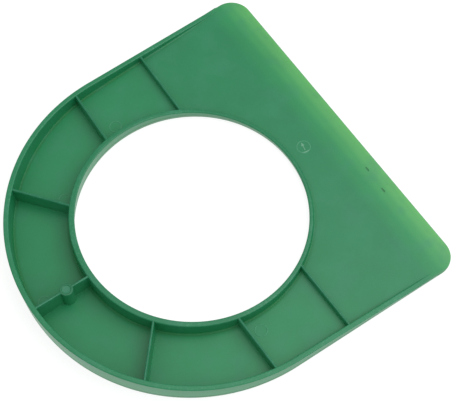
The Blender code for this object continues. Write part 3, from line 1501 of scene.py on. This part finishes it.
@dataclass
class Ribs(Member):
    """The thin ribs that tie the collar to the rim."""

    foot_half: float = 0.70 * MM
    crest_half: float = 0.58 * MM
    crest_round: float = 0.54 * MM
    root: float = 0.1 * MM
    sink: float = 0.35 * MM
    drop: float = 0.2 * MM
    round_steps: int = 5
    lines: tuple[RibLine, ...] = (
        RibLine("rib_front_left", 24.7 * MM, radians(88.8)),
        RibLine("rib_front_right", 24.45 * MM, radians(-89.2)),
        RibLine("rib_middle_left", -13.1 * MM, radians(88.1)),
        RibLine("rib_middle_right", -12.5 * MM, radians(-89.7)),
        RibLine("rib_diagonal_left", -16.0 * MM, radians(128.7)),
        RibLine("rib_diagonal_right", -13.7 * MM, radians(-131.4)),
        RibLine("rib_rear_inner", 0.0, pi, to_boss=True),
        RibLine("rib_rear_outer", 0.0, pi, from_boss=True),
    )

    def section(self) -> bpy.types.Mesh:
        """The rib's section, as the closed line that the rib maker reads.

        Returns:
            A mesh of points and edges.
        """
        quarter = spread(0.0, pi / 2, self.round_steps)
        root, crest = self.root, self.crest_round
        left = [
            (self.foot_half + root * (1 - sin(angle)), root * (1 - cos(angle)), 0.0)
            for angle in quarter
        ]
        left[0] = (left[0][0], -SINK, 0.0)
        left += [
            (self.crest_half - crest * (1 - cos(angle)), -crest * (1 - sin(angle)), 1.0)
            for angle in quarter
        ]
        points = left + [(-across, up, anchor) for across, up, anchor in reversed(left)]
        mesh = bpy.data.meshes.new("rib_section")
        edges = [(index, (index + 1) % len(points)) for index in range(len(points))]
        mesh.from_pydata(points, edges, [])
        return mesh

    def reach_to_circle(self, line: RibLine, center_x: float, radius: float) -> float:
        """Distance along a rib from the long axis to a circle about a point of it.

        Args:
            line: The rib.
            center_x: The circle's centre.
            radius: Its radius.

        Returns:
            The distance in metres.
        """
        offset = line.start_x - center_x
        return sqrt(radius**2 - (offset * sin(line.heading)) ** 2) - offset * cos(line.heading)

    def reach_to_wall(self, line: RibLine, z: float) -> float:
        """Distance along a rib from the long axis to the rim's inner face.

        Args:
            line: The rib.
            z: The height that it is measured at.

        Returns:
            The distance in metres.
        """
        sizes = self.sizes
        normal, turn = sizes.side_normal, abs(line.heading)
        room = sizes.back_radius + sizes.inner_offset(z)
        to_arc = self.reach_to_circle(line, 0.0, room)
        if atan2(to_arc * sin(turn), line.start_x + to_arc * cos(turn)) > normal:
            return to_arc
        return (room - line.start_x * cos(normal)) / cos(turn - normal)

    def reaches(self, line: RibLine) -> dict[str, float]:
        """Where a rib's foot and crest begin and end.

        Args:
            line: The rib.

        Returns:
            The four distances by the rib maker's input names.
        """
        sizes = self.sizes

        def to_collar(z: float) -> float:
            """Distance to the collar, or to the boss behind it."""
            on_collar = self.reach_to_circle(line, sizes.hole_x, sizes.collar_face(z))
            return sizes.boss_radius - sizes.boss_x if line.from_boss else on_collar

        def to_rim(z: float) -> float:
            """Distance to the rim, or to the boss before it."""
            on_rim = self.reach_to_wall(line, z)
            return -sizes.boss_radius - sizes.boss_x if line.to_boss else on_rim

        found = {}
        for end, reach in (("Start", to_collar), ("End", to_rim)):
            foot = reach(sizes.floor)
            found["Foot " + end] = foot
            crest = sizes.rim_height(line.start_x + foot * cos(line.heading))
            found["Crest " + end] = reach(crest)
        return found

    def build(self) -> list[bpy.types.Object]:
        """Makes every rib.

        Returns:
            The finished pieces.
        """
        sizes, maker, made = self.sizes, RibMaker(), []
        slope = tan(sizes.rim_slope)
        for line in self.lines:
            values = {
                "Start X": line.start_x + sizes.origin_x,
                "Heading": line.heading,
                "Floor": sizes.floor,
                "Crest Zero": sizes.rim_height(0.0) - self.drop + sizes.origin_x * slope,
                "Slope": slope,
                "Root Radius": self.root,
                "Sink": self.sink,
                "Finish": self.finish,
                **self.reaches(line),
            }
            item = maker.run(line.name + "_moulding", self.section(), values)
            made.append(self.join(settle(item), line.name))
        return made


class WitnessMaker(Generator):
    """Lays a low round bead about each point that comes in, as a mould's pins leave on a floor."""

    RING_STEPS = 64
    BEAD_STEPS = 10

    def __init__(self) -> None:
        """Builds the tree."""
        super().__init__("pin_witness")
        node, number = self.graph.node, self.number
        radius, bead, height = number("Radius"), number("Bead Width"), number("Bead Height")
        finish = self.add("Finish", "NodeSocketMaterial")
        circle, arch = (
            node("GeometryNodeCurvePrimitiveCircle", None, {"Resolution": steps, "Radius": size})
            for steps, size in ((self.RING_STEPS, radius), (self.BEAD_STEPS, bead * 0.5))
        )
        ring = node("GeometryNodeCurveToMesh", None, {"Curve": circle, "Profile Curve": arch})
        flat = self.graph.vector(1.0, 1.0, height / bead * 2.0)
        ring = node("GeometryNodeTransform", None, {"Geometry": ring, "Scale": flat})
        points = node("GeometryNodeMeshToPoints", None, {"Mesh": self.geometry()})
        laid = node("GeometryNodeInstanceOnPoints", None, {"Points": points, "Instance": ring})
        self.close(laid, finish)


@dataclass
class MouldingMarks(Member):
    """Faint rings that the mould's pins left on the floor, and one round insert with a pointer.

    The pointer is an arrow with a crescent beyond its tip. Its sizes with "share" in their name
    are shares of the insert's radius.
    """

    pins: tuple[Point2, ...] = (
        (-76.4 * MM, 4.8 * MM),
        (-42.4 * MM, 41.8 * MM),
        (-6.4 * MM, -61.7 * MM),
        (-3.1 * MM, 59.9 * MM),
    )
    pin_radius: float = 2.75 * MM
    bead: float = 0.45 * MM
    bead_height: float = 0.12 * MM
    insert: Point2 = (61.6 * MM, -0.1 * MM)
    insert_radius: float = 3.1 * MM
    pointer_turn: float = radians(-101.0)
    pointer_finish: Optional[bpy.types.Material] = None
    stroke: float = 0.34 * MM
    barb: float = 2.2
    arrow_shares: Point3 = (0.60, -0.20, -0.80)
    arrow_height: float = 0.10 * MM
    crescent_share: float = 0.98
    crescent_depth_share: float = 0.16
    crescent_flatness: float = 0.99
    crescent_half: float = 0.75
    crescent_height: float = 0.14 * MM
    crescent_steps: int = 12

    def seats(self, places: Sequence[Point2]) -> bpy.types.Mesh:
        """Marks places on the floor.

        Args:
            places: The places.

        Returns:
            A mesh with one vertex at each.
        """
        mesh = bpy.data.meshes.new("pin_places")
        mesh.from_pydata([self.sizes.placed(x, y, self.sizes.floor) for x, y in places], [], [])
        return mesh

    def rings(
        self, maker: WitnessMaker, name: str, places: Sequence[Point2], radius: float
    ) -> bpy.types.Object:
        """Makes the beads about some places.

        Args:
            maker: The tree that lays them.
            name: Name of the piece.
            places: Their centres.
            radius: Their radius.

        Returns:
            The finished piece.
        """
        values = {
            "Radius": radius,
            "Bead Width": self.bead,
            "Bead Height": self.bead_height,
            "Finish": self.finish,
        }
        return self.join(settle(maker.run(name, self.seats(places), values)))

    def arrow(self) -> list[Point2]:
        """The arrow.

        Returns:
            Its outline about the insert's centre, along the pointer.
        """
        tail, neck, tip = (share * self.insert_radius for share in self.arrow_shares)
        half, wide = self.stroke / 2, self.barb * self.stroke
        side = [(tail, -half), (neck, -half), (neck, -wide)]
        return [*side, (tip, 0.0), *((along, -across) for along, across in reversed(side))]

    def crescent(self) -> list[Point2]:
        """The crescent.

        Returns:
            Its outline about the insert's centre, along the pointer.
        """
        reach, half = self.insert_radius, self.crescent_half
        angles = spread(-half, half, self.crescent_steps)
        rim = self.crescent_share * reach
        outline = [(rim * cos(angle), rim * sin(angle)) for angle in angles]
        for angle in reversed(angles):
            inner = rim - self.crescent_depth_share * reach * cos(angle / half * pi / 2)
            outline.append((inner * cos(angle), inner * sin(angle) * self.crescent_flatness))
        return outline

    def pointer(self) -> bpy.types.Object:
        """A low arrow across the insert, with a raised crescent beyond its tip.

        Returns:
            The finished piece.
        """
        skin = Skin("insert_pointer")
        self.low_shape(skin, self.arrow(), self.arrow_height)
        self.low_shape(skin, self.crescent(), self.crescent_height)
        item = self.join(settle(skin.piece()))
        item.data.materials[0] = self.pointer_finish or self.finish
        return item

    def low_shape(self, skin: Skin, outline: Sequence[Point2], height: float) -> None:
        """Adds a flat-topped shape to the floor of the insert.

        Args:
            skin: The mesh that takes it.
            outline: Its outline about the insert's centre, along the pointer.
            height: How high it stands.
        """
        turn = self.pointer_turn
        rings = []
        for z in (self.sizes.floor - SINK, self.sizes.floor + height):
            ring = []
            for along, across in outline:
                x = self.insert[0] + along * cos(turn) - across * sin(turn)
                y = self.insert[1] + along * sin(turn) + across * cos(turn)
                ring.append(self.sizes.placed(x, y, z))
            rings.append(ring)
        skin.loft(rings)

    def build(self) -> list[bpy.types.Object]:
        """Makes every mark.

        Returns:
            The finished pieces.
        """
        maker = WitnessMaker()
        return [
            self.rings(maker, "pin_witness_rings", self.pins, self.pin_radius),
            self.rings(maker, "insert_ring", (self.insert,), self.insert_radius),
            self.pointer(),
        ]


# The studio.


@dataclass(frozen=True)
class Studio:
    """A white floor under an even sky, with one broad soft panel overhead, and the camera."""

    sizes: CupSizes
    floor_radius: float = 3.0
    sky: float = 0.62
    lamp_power: float = 11.5
    lamp_low: Point2 = (0.02, -1.50)
    lamp_high: Point2 = (1.42, 0.36)
    lamp_height: float = 1.0
    eye: Point3 = (-126.51 * MM, -243.22 * MM, 600.19 * MM)
    gaze: Point3 = (0.21806, 0.36528, -0.90500)
    top: Point3 = (0.53048, 0.73399, 0.42408)
    lens: float = 115.09
    clip: float = 0.01
    floor_steps: int = 64

    def floor(self) -> None:
        """Lays the floor."""
        skin = Skin("studio_floor")
        middle = -self.sizes.origin_x
        skin.cap(skin.ring(self.sizes.circle(middle, self.floor_radius, 0.0, self.floor_steps)))
        item = skin.piece()
        if item.data.polygons[0].normal.z < 0:
            item.data.flip_normals()
        item.data.materials.append(StudioFloor().make())

    def light(self) -> None:
        """Lights the sky and the lamp."""
        world = bpy.data.worlds.new("studio_sky")
        world.use_nodes = True
        background = world.node_tree.nodes["Background"]
        background.inputs["Color"].default_value = (1.0, 1.0, 1.0, 1.0)
        background.inputs["Strength"].default_value = self.sky
        bpy.context.scene.world = world
        data = bpy.data.lights.new("studio_lamp", "AREA")
        data.shape = "RECTANGLE"
        data.size = self.lamp_high[0] - self.lamp_low[0]
        data.size_y = self.lamp_high[1] - self.lamp_low[1]
        data.energy = self.lamp_power
        lamp = bpy.data.objects.new("studio_lamp", data)
        middle = [(low + high) / 2 for low, high in zip(self.lamp_low, self.lamp_high)]
        lamp.location = (*middle, self.lamp_height)
        bpy.context.scene.collection.objects.link(lamp)

    def camera(self) -> None:
        """Sets up the camera."""
        data = bpy.data.cameras.new("studio_camera")
        data.lens = self.lens
        data.clip_start = self.clip
        item = bpy.data.objects.new("studio_camera", data)
        back = -Vector(self.gaze).normalized()
        up = Vector(self.top)
        right = up.cross(back).normalized()
        up = back.cross(right)
        turn = Matrix((right, up, back)).transposed().to_4x4()
        item.matrix_world = Matrix.Translation(self.sizes.placed(*self.eye)) @ turn
        bpy.context.scene.collection.objects.link(item)
        bpy.context.scene.camera = item

    def build(self) -> None:
        """Sets the stage, with colours shown as they are."""
        self.floor()
        self.light()
        self.camera()
        bpy.context.scene.view_settings.view_transform = "Standard"


def main() -> None:
    """Builds the cup and its studio."""
    logging.basicConfig(level=logging.INFO, format="%(name)s %(message)s")
    sizes = CupSizes.from_frame()
    green = GreenPlastic("green_polypropylene", sizes)
    # A pale tone for the insert's arrow and crescent: a painted highlight on the raised shapes.
    pointer_highlight = (0.150, 0.390, 0.250)
    # The lip: a painted reflection on its arris, and dark spots in the nicks that are painted shade
    # and dirt together.
    lip_green = SpottedPlastic(
        "thin_green_polypropylene", sizes, arris_reflection_share=0.8, spots=FrontLip.nicks,
        spot_size=(0.5 * MM, 1.4 * MM), spot_color=(0.012, 0.115, 0.045),
        spot_share=0.6, spot_above=1.0 * MM,
    )
    # The boss: a darker crest ring, which is painted shade, and a pale disc in its dish, which is
    # painted light.
    roof_green = SpottedPlastic(
        "boss_green_polypropylene", sizes, crest=(0.008, 0.150, 0.065),
        spots=((sizes.boss_x, 0.0),), spot_size=(1.75 * MM, 1.75 * MM),
        spot_color=(0.034, 0.215, 0.118), spot_share=0.85, spot_above=10.0 * MM,
    )
    # The ribs and the collar have darker crests: painted shade on their rounded tops.
    rib_green = replace(
        green, name="rib_green_polypropylene", crest=(0.008, 0.170, 0.078), crest_shade_share=1.0
    )
    collar_green = replace(
        green, name="collar_green_polypropylene", crest=(0.008, 0.195, 0.078), crest_shade_share=1.0
    )
    # The pin rings and the insert ring are paler than the floor: a painted highlight on the beads.
    mark_highlight_green = replace(
        green, name="mark_highlight_polypropylene",
        lit=(0.045, 0.290, 0.140), body_and_glow_stops=plain((0.060, 0.300, 0.160)),
    )
    pointer_highlight_green = replace(green, name="pointer_highlight_polypropylene", lit=pointer_highlight, body_and_glow_stops=plain(pointer_highlight))
    main_green = green.make()
    Deck(sizes, main_green).build()
    FrontLip(sizes, lip_green.make()).build()
    RimWall(sizes, main_green).build()
    Collar(sizes, collar_green.make()).build()
    SocketBoss(sizes, roof_green.make()).build()
    Ribs(sizes, rib_green.make()).build()
    MouldingMarks(sizes, mark_highlight_green.make(), pointer_finish=pointer_highlight_green.make()).build()
    Studio(sizes).build()


if __name__ == "__main__":
    main()
